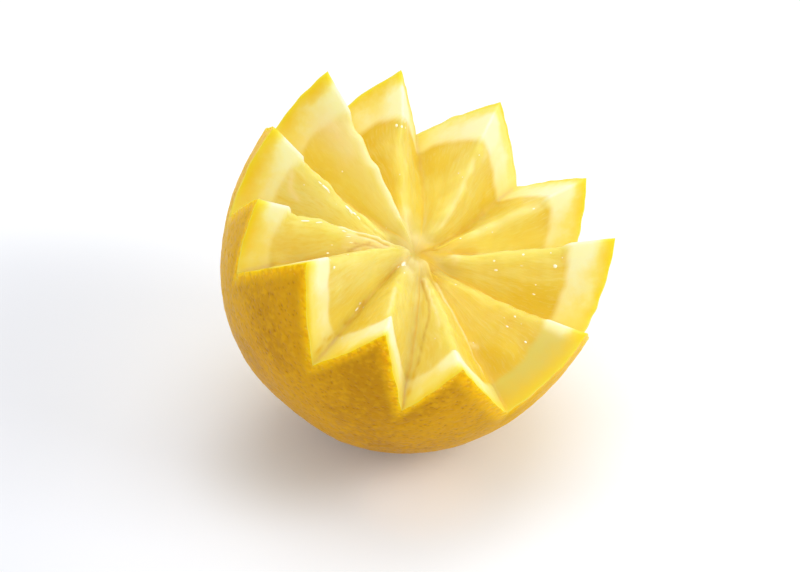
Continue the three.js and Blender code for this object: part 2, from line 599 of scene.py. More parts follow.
SEAMS = (
    # The core's crest, with the pit and the deeper flesh beside it.
    Seam(((109, 0.22), (120, 0.12), (150, 0.07), (-130, 0.1), (-100, 0.2)), 1.5, 0.6, Shade.PALE, 0.36),
    Seam(((-46, 0.19), (-36, 0.13), (-12, 0.1), (10, 0.05)), 1.2, -0.6, Shade.GOLDEN, 1.0),
    Seam(((20, 0.1), (20, 0.36)), 1.1, -0.3, Shade.GOLDEN, 0.8),
    Seam(((33, 0.08), (34, 0.22), (50, 0.42)), 1.4, -0.1, Shade.GOLDEN, 0.8),
    Seam(((-60, 0.2), (-40, 0.13), (-5, 0.08), (12, 0.1)), 2.2, 0.0, Shade.DARK, 0.3),
    # Painted light on thin flesh that the light comes through.
    Seam(((145, 0.74), (145.5, 0.5), (145, 0.25)), 5.0, 0.0, Shade.PAINTED_LIGHT, 0.5),
    Seam(((82, 0.7), (82, 0.4)), 3.0, 0.0, Shade.PAINTED_LIGHT, 0.25),
    Seam(((24, 0.72), (25, 0.45)), 3.0, 0.0, Shade.PAINTED_LIGHT, 0.5),
    Seam(((-1, 0.75), (0, 0.5)), 3.0, 0.0, Shade.PAINTED_LIGHT, 0.3),
    Seam(((-121, 0.86), (-121, 0.45)), 2.6, 0.0, Shade.PAINTED_LIGHT, 0.5),
    # Cracks between segments, and golden lines along the floors of notches.
    Seam(((-85, 0.2), (-83, 0.37), (-86, 0.56), (-88, 0.76)), 0.3, -0.12, Shade.DARK, 0.5),
    Seam(((-88, 0.76), (-90, 0.99)), 0.3, 0.05, Shade.GOLDEN, 0.9),
    Seam(((-120, 0.99), (-121, 0.88), (-120, 0.8)), 0.3, 0.05, Shade.GOLDEN, 0.9),
    Seam(((-120, 0.7), (-117, 0.62), (-120, 0.52)), 0.35, -0.1, Shade.GOLDEN, 0.8),
    Seam(((-165.3, 0.38), (-164.4, 0.28), (-162.5, 0.18)), 0.22, -0.2, Shade.DARK, 0.6),
    Seam(((-158.8, 0.4), (-160.2, 0.35), (-161.2, 0.29)), 0.25, -0.15, Shade.DARK, 0.5),
    # Membranes that stand out, and painted highlights along some ridges.
    Seam(((-58, 0.22), (-58, 0.5), (-59, 0.78)), 0.4, 0.35, Shade.PALE, 0.5),
    Seam(((-56, 0.6), (-53, 0.62)), 0.3, 0.25, Shade.PALE, 0.4),
    Seam(((-186, 0.79), (-184, 0.76), (-183, 0.7)), 0.5, 0.2, Shade.PALE, 0.5),
    Seam(((-166.6, 0.48), (-166.8, 0.34), (-167, 0.2)), 0.4, 0.3, Shade.PALE, 0.9),
    Seam(((-162.5, 0.42), (-161.5, 0.3), (-158, 0.18)), 0.9, 0.3, Shade.PALE, 1.0),
    Seam(((-160.5, 0.44), (-158.5, 0.34)), 0.3, 0.2, Shade.PALE, 0.8),
    Seam(((-163.9, 0.44), (-163.2, 0.34), (-161, 0.22)), 0.25, 0.2, Shade.PALE, 1.0),
    Seam(((-161.6, 0.38), (-160, 0.28), (-157, 0.2)), 0.2, -0.15, Shade.DARK, 0.35),
    Seam(((-81, 0.2), (-82, 0.4), (-82, 0.6)), 0.35, 0.2, Shade.PALE, 0.6),
    # Painted highlight along the ridge at -106.
    Seam(((-106.4, 0.45), (-107, 0.72)), 0.4, 0.2, Shade.PALE, 0.4),
    Seam(((7, 0.21), (1, 0.22)), 0.8, 0.4, Shade.PALE, 0.5),
    # Painted highlights along the ridges at 71 and 33.
    Seam(((70, 0.66), (69, 0.45), (66, 0.25)), 0.5, 0.1, Shade.PALE, 0.3),
    Seam(((33, 0.76), (32, 0.5), (31, 0.22)), 1.0, 0.1, Shade.PALE, 0.25),
    Seam(((141, 0.74), (140.5, 0.55), (140.5, 0.35), (139, 0.2)), 2.2, 0.2, Shade.PALE, 0.35),
    # Painted highlight along the ridge at 136.
    Seam(((137.5, 0.76), (137.2, 0.5), (137, 0.2)), 1.0, 0.12, Shade.PALE, 0.8),
    Seam(((140, 0.78), (140, 0.62)), 3.0, 0.0, Shade.PALE, 0.65),
)


class Graph:
    """Adds nodes to one node tree and joins them."""

    def __init__(self, tree: bpy.types.NodeTree) -> None:
        """Start on a tree.

        Args:
            tree: The shader or geometry tree to fill.
        """
        self.tree = tree

    def add(self, kind: str, inputs: dict[Any, Any] | None = None, **settings: Any) -> bpy.types.Node:
        """Add one node.

        Args:
            kind: Blender's name of the node's type.
            inputs: What goes into its sockets, by name or number: a value or another's output.
            **settings: The node's own properties.

        Returns:
            The new node.
        """
        node = self.tree.nodes.new(kind)
        for name, value in settings.items():
            setattr(node, name, value)
        self.feed(node, inputs or {})
        return node

    def feed(self, node: bpy.types.Node, inputs: dict[Any, Any]) -> None:
        """Set or link a node's sockets.

        Args:
            node: The node.
            inputs: What goes into its sockets, by name or number: a value or another's output.
        """
        for socket, value in inputs.items():
            if isinstance(value, bpy.types.NodeSocket):
                self.tree.links.new(value, node.inputs[socket])
            else:
                node.inputs[socket].default_value = value

    def math(self, operation: str, *values: Any, clamp: bool = False) -> bpy.types.NodeSocket:
        """Work out one number from others.

        Args:
            operation: The math node's operation.
            *values: Numbers or outputs.
            clamp: Whether the result is kept within 0 to 1.

        Returns:
            The result's output.
        """
        inputs = dict(enumerate(values))
        return self.add("ShaderNodeMath", inputs, operation=operation, use_clamp=clamp).outputs[0]

    def times(self, first: Any, *others: Any) -> Any:
        """Multiply numbers.

        Args:
            first: A number or an output.
            *others: What it is multiplied by.

        Returns:
            The product's output.
        """
        product = first
        for value in others:
            product = self.math("MULTIPLY", product, value)
        return product

    def ramp(self, value: Any, low: float, high: float, start: float = 0, end: float = 1) -> Any:
        """Ease a number from one range to another.

        Args:
            value: The number's output.
            low: Where the ramp starts.
            high: Where the ramp ends.
            start: The result at its start.
            end: The result at its end.

        Returns:
            The eased number's output.
        """
        inputs = {"Value": value, 1: low, 2: high, 3: start, 4: end}
        node = self.add("ShaderNodeMapRange", inputs, interpolation_type="SMOOTHSTEP")
        return node.outputs["Result"]

    def blend(self, share: Any, first: Any, second: Any) -> bpy.types.NodeSocket:
        """Blend two colours.

        Args:
            share: How much of the second, 0 to 1.
            first: A linear colour or an output.
            second: A linear colour or an output.

        Returns:
            The blended colour's output.
        """
        node = self.add("ShaderNodeMix", {0: share}, data_type="RGBA")
        for socket, value in ((node.inputs[6], first), (node.inputs[7], second)):
            if isinstance(value, bpy.types.NodeSocket):
                self.tree.links.new(value, socket)
            else:
                socket.default_value = (*value, 1)
        return node.outputs[2]

    def noise(self, place: Any, scale: float, detail: float, roughness: float = 0.5) -> Any:
        """Cloudy noise, 0 to 1.

        Args:
            place: Where it is looked up.
            scale: How many clouds go into one unit of the place.
            detail: How many finer layers it has.
            roughness: How strong the finer layers are.

        Returns:
            The noise's output.
        """
        inputs = {"Vector": place, "Scale": scale, "Detail": detail, "Roughness": roughness}
        return self.add("ShaderNodeTexNoise", inputs).outputs[0]

    def mixed(self, *parts: tuple[Any, float]) -> Any:
        """Add up numbers, each with its own weight.

        Args:
            *parts: Outputs with their weights.

        Returns:
            The sum's output.
        """
        total: Any = 0.0
        for value, weight in parts:
            total = self.math("MULTIPLY_ADD", value, weight, total)
        return total

    def vector(self, operation: str, first: Any, second: Any) -> bpy.types.NodeSocket:
        """Work out one vector from two.

        Args:
            operation: The vector math node's operation.
            first: A vector or an output.
            second: A vector or an output.

        Returns:
            The result's output.
        """
        inputs = {0: first, 1: second}
        return self.add("ShaderNodeVectorMath", inputs, operation=operation).outputs[0]

    def scaled(self, way: Any, factor: Any) -> bpy.types.NodeSocket:
        """Make a vector longer or shorter.

        Args:
            way: The vector's output.
            factor: How many times as long.

        Returns:
            The result's output.
        """
        inputs = {0: way, "Scale": factor}
        return self.add("ShaderNodeVectorMath", inputs, operation="SCALE").outputs[0]

    def length(self, way: Any) -> bpy.types.NodeSocket:
        """The length of a vector, as an output."""
        return self.add("ShaderNodeVectorMath", {0: way}, operation="LENGTH").outputs["Value"]

    def place(self) -> bpy.types.NodeSocket:
        """The place on the object, as an output."""
        return self.add("ShaderNodeTexCoord").outputs["Object"]

    def kept(self, name: str, output: str = "Fac") -> bpy.types.NodeSocket:
        """Read a value kept on the mesh.

        Args:
            name: The attribute's name.
            output: Fac for a number or Vector for a vector.

        Returns:
            The value's output.
        """
        return self.add("ShaderNodeAttribute", attribute_name=name).outputs[output]

    def relief(self, height: Any, strength: float, depth: float) -> bpy.types.NodeSocket:
        """Bend the light's way off a surface as small bumps would.

        Args:
            height: How high each place stands, as an output.
            strength: How much of the bend is used, 0 to 1.
            depth: How far a height of 1 stands up, in metres.

        Returns:
            The bent normal's output.
        """
        inputs = {"Height": height, "Strength": strength, "Distance": depth}
        return self.add("ShaderNodeBump", inputs).outputs[0]


def new_material(name: str) -> tuple[bpy.types.Material, Graph, bpy.types.Node]:
    """Start a material whose shader is linked to its output.

    Args:
        name: The material's name.

    Returns:
        The material, its graph and its principled shader.
    """
    material = bpy.data.materials.new(name)
    material.use_nodes = True
    graph = Graph(material.node_tree)
    return material, graph, material.node_tree.nodes["Principled BSDF"]


def add_object(name: str, data: bpy.types.ID) -> bpy.types.Object:
    """Make an object and put it in the scene.

    Args:
        name: The object's name.
        data: Its mesh, lamp or camera.

    Returns:
        The new object.
    """
    made = bpy.data.objects.new(name, data)
    bpy.context.scene.collection.objects.link(made)
    return made


@dataclass(frozen=True)
class PeelFinish:
    """Waxy skin dimpled over oil glands, with painted glow where cut thin and painted sunlight on one
    side.
    """

    deep: Colour = srgb(203, 144, 6)
    bright: Colour = srgb(222, 162, 6)
    # Painted sunlight: the skin's colour on the side away from the shade.
    painted_sunlit: Colour = srgb(250, 198, 6)
    # Painted glow: light coming through the thin skin near the cut.
    rim: Colour = srgb(254, 202, 0)
    # The glands' own deeper tone, with painted shade in their pits.
    pit_tone_and_shade: Colour = srgb(184, 118, 0)
    # Painted highlight flecks, and pits painted lighter in the glow near the rim.
    painted_light_fleck: Colour = srgb(255, 214, 50)
    roughness: tuple[float, float] = (0.32, 0.5)
    specular: float = 0.07
    scatter: tuple[float, float, float] = (1.0, 0.6, 0.1)
    scatter_depth: float = 0.003
    glands_per_metre: float = 1250.0
    gland_sway: float = 0.0011
    pit_depth: float = 0.00011

    def glands(self, graph: Graph, place: bpy.types.NodeSocket) -> bpy.types.NodeSocket:
        """Scatter the oil glands' pits over the skin.

        Args:
            graph: The material's graph.
            place: The place on the object.

        Returns:
            How deep in a pit each place is, 0 to 1.
        """
        warp = graph.add("ShaderNodeTexNoise", {"Vector": place, "Scale": 420, "Detail": 1})
        bent = graph.vector("SUBTRACT", warp.outputs["Color"], (0.5, 0.5, 0.5))
        bent = graph.vector("ADD", place, graph.scaled(bent, self.gland_sway))
        cells = graph.add("ShaderNodeTexVoronoi", {"Vector": bent, "Scale": self.glands_per_metre})
        size = graph.add("ShaderNodeSeparateColor", {"Color": cells.outputs["Color"]})
        pit = graph.ramp(cells.outputs["Distance"], 0.05, 0.5, 1, 0)
        return graph.times(pit, graph.ramp(size.outputs[0], 0, 1, 0.35, 1))

    def material(self) -> bpy.types.Material:
        """Make the finish.

        Returns:
            The material.
        """
        material, graph, shader = new_material("lemon_peel")
        place = graph.place()
        broad = graph.noise(place, 80, 2)
        fine = graph.noise(place, 950, 2)
        grit = graph.noise(place, 2600, 1)
        pit = self.glands(graph, place)
        mottle = graph.mixed((broad, 0.72), (fine, 0.28))
        colour = graph.blend(graph.ramp(mottle, 0.38, 0.59), self.deep, self.bright)
        # Painted sunlight on the side away from the shade.
        painted_sunlit = graph.kept("painted_sunlit")
        colour = graph.blend(painted_sunlit, colour, self.painted_sunlit)
        # The pits take the glands' own tone and painted shade, less of it on the painted sunlit side.
        pit_tone_and_shade_mask = graph.times(pit, graph.ramp(painted_sunlit, 0, 0.8, 0.6, 0.24))
        colour = graph.blend(pit_tone_and_shade_mask, colour, self.pit_tone_and_shade)
        # Painted highlight flecks.
        colour = graph.blend(graph.ramp(fine, 0.5, 0.66, 0, 0.12), colour, self.painted_light_fleck)
        # Painted glow near the rim, where light comes through the thin skin, with pits painted lighter
        # in it.
        reach = graph.mixed((graph.kept("rim_gap"), 1.0), (fine, 2.4), (broad, 1.6))
        painted_glow = graph.ramp(reach, 2.4, 6.6, 1, 0)
        patch = graph.ramp(fine, 0.36, 0.6, 0.45, 1)
        colour = graph.blend(graph.times(painted_glow, patch), colour, self.rim)
        colour = graph.blend(graph.times(painted_glow, pit, 0.9), colour, self.painted_light_fleck)
        dent = graph.mixed((fine, 1.5), (grit, 0.1), (pit, -0.95))
        graph.feed(shader, {
            "Base Color": colour,
            "Roughness": graph.ramp(fine, 0.3, 0.7, *self.roughness),
            "Normal": graph.relief(dent, 1.0, self.pit_depth),
            "Specular IOR Level": self.specular,
            "Subsurface Weight": graph.ramp(painted_glow, 0, 1, 0.12, 0.75),
            "Subsurface Radius": self.scatter,
            "Subsurface Scale": self.scatter_depth,
        })
        return material


@dataclass(frozen=True)
class FleshFinish:
    """The cut: golden at the skin, creamy pith, then juicy pulp in long sacs."""

    zest: Colour = srgb(241, 204, 36)
    pith: Colour = srgb(250, 243, 196)
    pith_low: Colour = srgb(245, 228, 122)
    pulp: Colour = srgb(233, 216, 110)
    pulp_pale: Colour = srgb(238, 226, 150)
    pulp_deep: Colour = srgb(231, 203, 70)
    pulp_edge: Colour = srgb(222, 203, 92)
    milky: Colour = srgb(241, 230, 146)
    ripe: Colour = srgb(234, 198, 60)
    ripe_pith: Colour = srgb(224, 208, 106)
    heart: Colour = srgb(212, 188, 90)
    membrane: Colour = srgb(246, 230, 180)
    crack: Colour = srgb(196, 144, 30)
    # Painted light where the flesh is thin enough for light to come through.
    painted_light: Colour = srgb(247, 230, 108)
    pith_roughness: float = 0.6
    pulp_roughness: float = 0.38
    specular: float = 0.22
    scatter_weight: float = 0.8
    scatter: tuple[float, float, float] = (1.0, 0.88, 0.4)
    scatter_depth: float = 0.0045
    wave_strength: float = 0.5
    wave_depth: float = 0.0002

    def pith_colour(self, graph: Graph, place: Any, crest: Any, skin_gap: Any) -> Any:
        """Colour the pith, whitest at the inner end of each ridge, with painted shade towards the
        notches.

        Args:
            graph: The material's graph.
            place: The place on the object.
            crest: How near a ridge each place is, 0 to 1.
            skin_gap: How far it is from the skin, in millimetres.

        Returns:
            The colour's output.
        """
        marble = graph.noise(place, 260, 3, 0.6)
        zest_gap = graph.kept("zest_gap")
        inward = graph.mixed((skin_gap, 0.6), (zest_gap, 0.4), (marble, 3.0))
        inward = graph.ramp(inward, 2.6, 7.6, 0, 0.7)
        near = graph.times(graph.ramp(crest, 0.55, 0.95), graph.ramp(skin_gap, 1.2, 3.6, 0, 0.85))
        cloud = graph.ramp(marble, 0.35, 0.7, -0.15, 0.2)
        whiten = graph.math("ADD", graph.math("ADD", inward, near), cloud, clamp=True)
        pith = graph.blend(whiten, self.pith_low, self.pith)
        outer = graph.ramp(graph.mixed((zest_gap, 1.0), (marble, 2.4)), 1.2, 3.9, 1, 0)
        pith = graph.blend(outer, pith, self.zest)
        # Painted shade and bounce light: the pith turns yellower towards the notches.
        pith = graph.blend(graph.ramp(crest, 0.02, 0.4, 0.6, 0), pith, self.pith_low)
        ripe = graph.ramp(graph.kept("ripe"), 0.5, 0.95)
        glassy = graph.times(ripe, graph.ramp(crest, 0.82, 0.97, 1, 0))
        pith = graph.blend(glassy, pith, self.ripe_pith)
        return graph.blend(graph.times(ripe, outer, 0.75), pith, self.zest)

    def pulp_colour(self, graph: Graph, place: Any, crest: Any, streak: Any, fibre: Any) -> Any:
        """Colour the pulp, with painted shade that deepens it in the notches and painted light that
        pales it towards the ridges.

        Args:
            graph: The material's graph.
            place: The place on the object.
            crest: How near a ridge each place is, 0 to 1.
            streak: The pattern of the sacs, 0 to 1.
            fibre: The pattern of the fine fibres along them, 0 to 1.

        Returns:
            The colour's output.
        """
        cloud = graph.noise(place, 190, 2, 0.5)
        outer = graph.ramp(graph.kept("skin_gap"), 7, 15, -0.28, 0)
        # The crest term paints shade into the notches and light onto the ridges; the clouds and sacs
        # vary the tone.
        depth = graph.mixed((crest, 0.6), (cloud, 0.72), (streak, 0.55), (outer, 1.0))
        flesh = graph.blend(graph.ramp(depth, 0.62, 1.0), self.pulp_deep, self.pulp)
        flesh = graph.blend(graph.ramp(depth, 1.0, 1.5), flesh, self.pulp_pale)
        ripe = graph.times(graph.kept("ripe"), 0.6)
        flesh = graph.blend(ripe, flesh, self.ripe)
        flesh = graph.blend(graph.ramp(ripe, 0.0, 0.15, 0.65, 0), flesh, self.milky)
        faint = graph.times(graph.ramp(streak, 0.48, 0.68, 0, 0.3), graph.ramp(ripe, 0, 0.36, 1, 0.3))
        flesh = graph.blend(faint, flesh, self.pulp_pale)
        flesh = graph.blend(graph.ramp(streak, 0.32, 0.5, 0.34, 0), flesh, self.pulp_deep)
        fine = graph.times(graph.ramp(fibre, 0.5, 0.68, 0, 0.36), graph.ramp(ripe, 0, 0.36, 1, 0.5))
        flesh = graph.blend(fine, flesh, self.pulp_pale)
        flesh = graph.blend(graph.ramp(fibre, 0.34, 0.48, 0.24, 0), flesh, self.pulp_deep)
        flesh = graph.blend(graph.ramp(crest, 0.8, 0.98, 0, 0.6), flesh, self.pulp_edge)
        heart = graph.ramp(graph.kept("share"), 0.07, 0.33, 0.85, 0)
        return graph.blend(heart, flesh, self.heart)

    def tinted(self, graph: Graph, colour: Any, crest: Any, pulp: Any) -> Any:
        """Lay painted shade in the notches, painted light on thin flesh and the seams' shades over the
        flesh.

        Args:
            graph: The material's graph.
            colour: The flesh's own colour.
            crest: How near a ridge each place is, 0 to 1.
            pulp: How far it is pulp rather than pith, 0 to 1.

        Returns:
            The colour's output.
        """
        # Painted shade and bounce light in the notches, golden like the ripe flesh.
        painted_notch_shade = graph.times(graph.ramp(crest, 0.0, 0.13, 0.7, 0), graph.ramp(pulp, 0, 1, 0.35, 1))
        colour = graph.blend(painted_notch_shade, colour, self.ripe)
        # Painted light where the flesh is thin.
        colour = graph.blend(graph.times(graph.kept(Shade.PAINTED_LIGHT.value), pulp), colour, self.painted_light)
        colour = graph.blend(graph.kept(Shade.PALE.value), colour, self.membrane)
        colour = graph.blend(graph.kept(Shade.GOLDEN.value), colour, self.ripe)
        return graph.blend(graph.kept(Shade.DARK.value), colour, self.crack)

    def material(self) -> bpy.types.Material:
        """Make the finish.

        Returns:
            The material.
        """
        material, graph, shader = new_material("lemon_flesh")
        place = graph.place()
        grain = graph.kept("grain", "Vector")
        pulp = graph.kept("pulp")
        crest = graph.kept("crest")
        streak = graph.mixed((graph.noise(grain, 3, 2), 0.6), (graph.noise(grain, 9, 1), 0.4))
        fibre = graph.noise(grain, 20, 2, 0.6)
        pith = self.pith_colour(graph, place, crest, graph.kept("skin_gap"))
        flesh = self.pulp_colour(graph, place, crest, streak, fibre)
        colour = self.tinted(graph, graph.blend(pulp, pith, flesh), crest, pulp)
        damp = graph.ramp(graph.noise(place, 160, 1), 0.35, 0.65, -0.05, 0.05)
        rough = graph.ramp(pulp, 0, 1, self.pith_roughness, self.pulp_roughness)
        sacs, lumps = graph.noise(grain, 4, 0), graph.noise(place, 300, 0)
        waves = graph.mixed((sacs, 0.8), (lumps, 0.4), (fibre, 0.3))
        waves = graph.times(waves, graph.ramp(pulp, 0, 1, 0.25, 1))
        waves = graph.times(waves, graph.ramp(graph.kept("share"), 0.04, 0.25))
        graph.feed(shader, {
            "Base Color": colour,
            "Roughness": graph.mixed((rough, 1.0), (damp, 1.0)),
            "Normal": graph.relief(waves, self.wave_strength, self.wave_depth),
            "Specular IOR Level": self.specular,
            "Subsurface Weight": self.scatter_weight,
            "Subsurface Radius": self.scatter,
            "Subsurface Scale": self.scatter_depth,
        })
        return material


@dataclass(frozen=True)
class JuiceFinish:
    """Glossy drops of juice, painted near white and glowing faintly as painted glints."""

    # Painted glints: near white, with a faint painted glow.
    colour: Colour = srgb(255, 240, 190)
    painted_glint: Colour = srgb(255, 250, 226)
    roughness: float = 0.1
    coat_index: float = 2.0
    coat_roughness: float = 0.04
    painted_glint_glow: float = 0.1

    def material(self) -> bpy.types.Material:
        """Make the finish.

        Returns:
            The material.
        """
        material, graph, shader = new_material("lemon_juice")
        cloud = graph.noise(graph.place(), 900, 1)
        graph.feed(shader, {
            "Base Color": graph.blend(cloud, self.colour, self.painted_glint),
            "Roughness": self.roughness,
            "Coat Weight": 1.0,
            "Coat IOR": self.coat_index,
            "Coat Roughness": self.coat_roughness,
            "Emission Color": (*self.painted_glint, 1.0),
            "Emission Strength": self.painted_glint_glow,
        })
        return material


@dataclass(frozen=True)
class CutSurface:
    """The cut as it lies: the crown's folds with their seams, swellings and lumps.

    The lumps are weaker in the notches, and the core has neither lumps nor swellings.
    """

    crown: Crown
    seams: tuple[Seam, ...] = SEAMS
    swells: Swell = Swell(0.22, 7.0, 11)
    lumps: Swell = Swell(0.2, 2.6, 17)
    notch_lumps: float = 0.35
    core_fade: tuple[float, float] = (0.04, 0.25)
    least_gap: float = 0.001

    def crest(self, azimuth: Array, share: Array) -> Array:
        """How near each place lies to a ridge.

        Args:
            azimuth: The places' azimuths.
            share: Their shares of the way out.

        Returns:
            0 in a notch to 1 on a ridge.
        """
        rim = self.crown.rim_radius(azimuth)
        ridge_gap, notch_gap = self.crown.fold_gaps(azimuth, rim * share)
        return notch_gap / np.maximum(ridge_gap + notch_gap, self.least_gap)

    def lay(self, azimuth: Array, share: Array) -> tuple[Array, dict[Shade, Array]]:
        """Find places of the cut, and how strongly the seams tint them.

        Args:
            azimuth: The places' azimuths.
            share: Their shares of the way out.

        Returns:
            The points, in millimetres, and the strength of each shade, 0 to 1.
        """
        cut = self.crown.point(azimuth, share)
        shades = {shade: np.zeros(len(cut)) for shade in Shade}
        rise = np.zeros(len(cut))
        for seam in self.seams:
            near = bump(seam.gap(self.crown, cut), seam.width)
            shades[seam.shade] = np.maximum(shades[seam.shade], seam.strength * near)
            rise += seam.rise * near
        lumps = self.lumps.at(cut)
        lumps *= self.notch_lumps + (1 - self.notch_lumps) * self.crest(azimuth, share) ** 2
        uneven = (self.swells.at(cut) + lumps) * self.crown.pulp_share(azimuth, share)
        cut[:, 2] += rise + uneven * smooth(share, *self.core_fade)
        return cut, shades


@dataclass(frozen=True)
class ZestZone:
    """A stretch of the rim where the golden line under the skin is wider, or thinner below 0."""

    azimuth: float
    spread: float
    change: float


@dataclass
class LemonHalf:
    """The half's one closed surface: its skin and its folded cut.

    Columns run from the blossom end over the rim to the middle of the cut, and rows and rings go
    round. The rim waves a little, and the line of zest under it changes in width round the fruit.
    The skin is painted sunlit away from its shaded side, fully so past the shaded spread.
    """

    skin: Skin
    surface: CutSurface
    pose: Pose
    column_width: float = 0.75
    least_columns: int = 4
    nipple_rows: int = 36
    flank_rows: int = 86
    nipple_end: float = 25.0
    last_row: float = 0.996
    first_ring: float = 0.994
    second_ring: float = 0.985
    last_ring: float = 0.012
    cut_rings: int = 66
    waves: tuple[Swell, ...] = (Swell(0.1, 3.2, 31), Swell(0.1, 3.2, 32), Swell(0.1, 3.2, 33))
    skin_waves_reach: float = 1.8
    cut_waves_reach: float = 1.2
    grain_turns: float = 5.5
    grain_sway: Swell = Swell(0.9, 16.0, 3)
    shaded_azimuth: float = -107.0
    shaded_spread: tuple[float, float] = (20.0, 100.0)
    zest_swing: float = 0.3
    zest_swing_azimuth: float = 110.0
    zest_swell: float = 1.3
    zest_swell_azimuth: float = -48.0
    zest_swell_spread: float = 14.0
    zest_zones: tuple[ZestZone, ...] = (
        ZestZone(65, 30, -0.72),
        ZestZone(-130, 9, -0.35),
        ZestZone(-117, 4, 0.8),
        ZestZone(-68, 11, -0.45),
    )
    zone_steepness: float = 6.0
    far_from_rim: float = 60.0
    far_from_skin: float = 30.0

    def columns(self) -> Array:
        """Set out the columns, with one on every fold.

        Returns:
            The azimuth of each.
        """
        folds = self.surface.crown.folds
        ends = [f.azimuth for f in folds] + [folds[0].azimuth + 360]
        columns: list[float] = []
        for start, end in zip(ends[:-1], ends[1:]):
            count = max(self.least_columns, round((end - start) / self.column_width))
            columns.extend(np.linspace(start, end, count, endpoint=False))
        return np.array(columns)

    def skin_points(self, columns: Array) -> tuple[Array, Array]:
        """The skin's rows from the blossom end to the rim.

        Args:
            columns: The columns' azimuths.

        Returns:
            The points, row by row, and how far below the rim each lies along the skin.
        """
        rim = self.surface.crown.rim_angle(columns)
        low = np.linspace(0, self.nipple_end, self.nipple_rows + 1)[1:]
        steps = np.linspace(0, 1, self.flank_rows + 1)[1:]
        steps = np.insert(steps, -1, self.last_row)
        angles = np.concatenate([
            np.repeat(low[:, None], len(columns), 1),
            self.nipple_end + (rim - self.nipple_end) * steps[:, None],
        ])
        azimuths = np.broadcast_to(columns, angles.shape)
        gap = np.radians(rim - angles) * self.skin.equator_radius
        return self.skin.point(angles, azimuths).reshape(-1, 3), gap.ravel()

    def wobble(self, points: Array, share: Array) -> Array:
        """The little waves of the rim's edge.

        Args:
            points: Points near the rim.
            share: How far each follows the waves, 0 to 1.

        Returns:
            How far each point moves, in millimetres.
        """
        return share[:, None] * np.stack([wave.at(points) for wave in self.waves], -1)

    def cut_places(self, columns: Array) -> tuple[Array, Array]:
        """Set out the cut's rings, from just inside the rim to the core.

        Args:
            columns: The columns' azimuths.

        Returns:
            The azimuth of each place, ring by ring, and its share of the way out.
        """
        shares = np.linspace(self.second_ring, self.last_ring, self.cut_rings)
        shares = np.concatenate([[self.first_ring], shares])
        azimuth, share = np.broadcast_arrays(columns, shares[:, None])
        return azimuth.ravel(), share.ravel()

    def skin_gap(self, azimuth: Array, share: Array) -> Array:
        """How far places of the cut lie from its edge on the skin.

        Args:
            azimuth: The places' azimuths.
            share: Their shares of the way out.

        Returns:
            The distances, in millimetres.
        """
        crown = self.surface.crown
        return (1 - share) * crown.rim_radius(azimuth) * np.hypot(1, crown.slope(azimuth))

    def mesh(self, name: str, columns: Array, skin: Array, cut: Array) -> bpy.types.Mesh:
        """Join the skin's and the cut's points in one closed mesh.

        Args:
            name: The mesh's name.
            columns: The columns' azimuths.
            skin: The skin's points, row by row.
            cut: The cut's points, ring by ring.

        Returns:
            The mesh.
        """
        count = len(columns)
        bottom = self.skin.point(np.zeros(1), np.zeros(1))
        middle = cut[-count:].mean(0, keepdims=True)
        points = self.pose.lay(np.concatenate([bottom, skin, cut, middle]))
        faces, finish = self.faces(count, (len(skin) + len(cut)) // count, len(skin) // count)
        mesh = bpy.data.meshes.new(name)
        mesh.from_pydata(points.tolist(), [], faces)
        mesh.polygons.foreach_set("use_smooth", np.ones(len(faces), bool))
        mesh.polygons.foreach_set("material_index", finish)
        return mesh

    def mark_skin(self, mesh: bpy.types.Mesh, columns: Array, rim_gap: Array) -> None:
        """Keep on the mesh what the skin's finish needs.

        Args:
            mesh: The mesh.
            columns: The columns' azimuths.
            rim_gap: How far each point of the skin lies below the rim.
        """
        after = np.zeros(len(mesh.vertices) - 1 - len(rim_gap))
        # Painted sunlight: none round the shaded azimuth, all of it past the shaded spread.
        turned = np.abs((columns - self.shaded_azimuth + 180) % 360 - 180)
        painted_sunlit = np.tile(smooth(turned, *self.shaded_spread), len(rim_gap) // len(columns))
        self.keep(mesh, "rim_gap", np.concatenate([[self.far_from_rim], rim_gap, after]))
        self.keep(mesh, "painted_sunlit", np.concatenate([[0.5], painted_sunlit, after]))

    def zest_width(self, azimuth: Array) -> Array:
        """How wide the line of zest is round the cut, 1 where nothing changes it.

        Args:
            azimuth: Azimuths.

        Returns:
            The widths.
        """
        width = 1 + self.zest_swing * np.cos(np.radians(azimuth - self.zest_swing_azimuth))
        width += self.zest_swell * bump(azimuth - self.zest_swell_azimuth, self.zest_swell_spread)
        for zone in self.zest_zones:
            width *= 1 + zone.change * bump(azimuth - zone.azimuth, zone.spread, self.zone_steepness)
        return width

    def mark_cut(self, mesh: bpy.types.Mesh, azimuth: Array, share: Array, cut: Array) -> None:
        """Keep on the mesh what the cut's finish needs.

        Args:
            mesh: The mesh.
            azimuth: The azimuth of each place of the cut.
            share: Its share of the way out.
            cut: Its point.
        """
        crown = self.surface.crown
        before = len(mesh.vertices) - 1 - len(cut)
        skin_gap = self.skin_gap(azimuth, share)
        zest_gap = skin_gap / self.zest_width(azimuth)
        lined = np.radians(azimuth + self.grain_sway.at(cut))
        grain = np.stack([np.cos(lined), np.sin(lined), share], -1)
        grain[:, :2] *= self.grain_turns
        self.keep(mesh, "skin_gap", self.pad(skin_gap, before, self.far_from_skin))
        self.keep(mesh, "zest_gap", self.pad(zest_gap, before, self.far_from_skin))
        self.keep(mesh, "pulp", self.pad(crown.pulp_share(azimuth, share), before, 1))
        self.keep(mesh, "crest", self.pad(self.surface.crest(azimuth, share), before, 0.5))
        self.keep(mesh, "share", self.pad(share, before, 0))
        self.keep(mesh, "ripe", self.pad(crown.flesh_of(azimuth)[1], before, 0.3))
        self.keep(mesh, "cut", self.pad(np.ones(len(cut)), before, 1))
        self.keep_ways(mesh, "grain", np.concatenate([np.zeros((before, 3)), grain, np.zeros((1, 3))]))

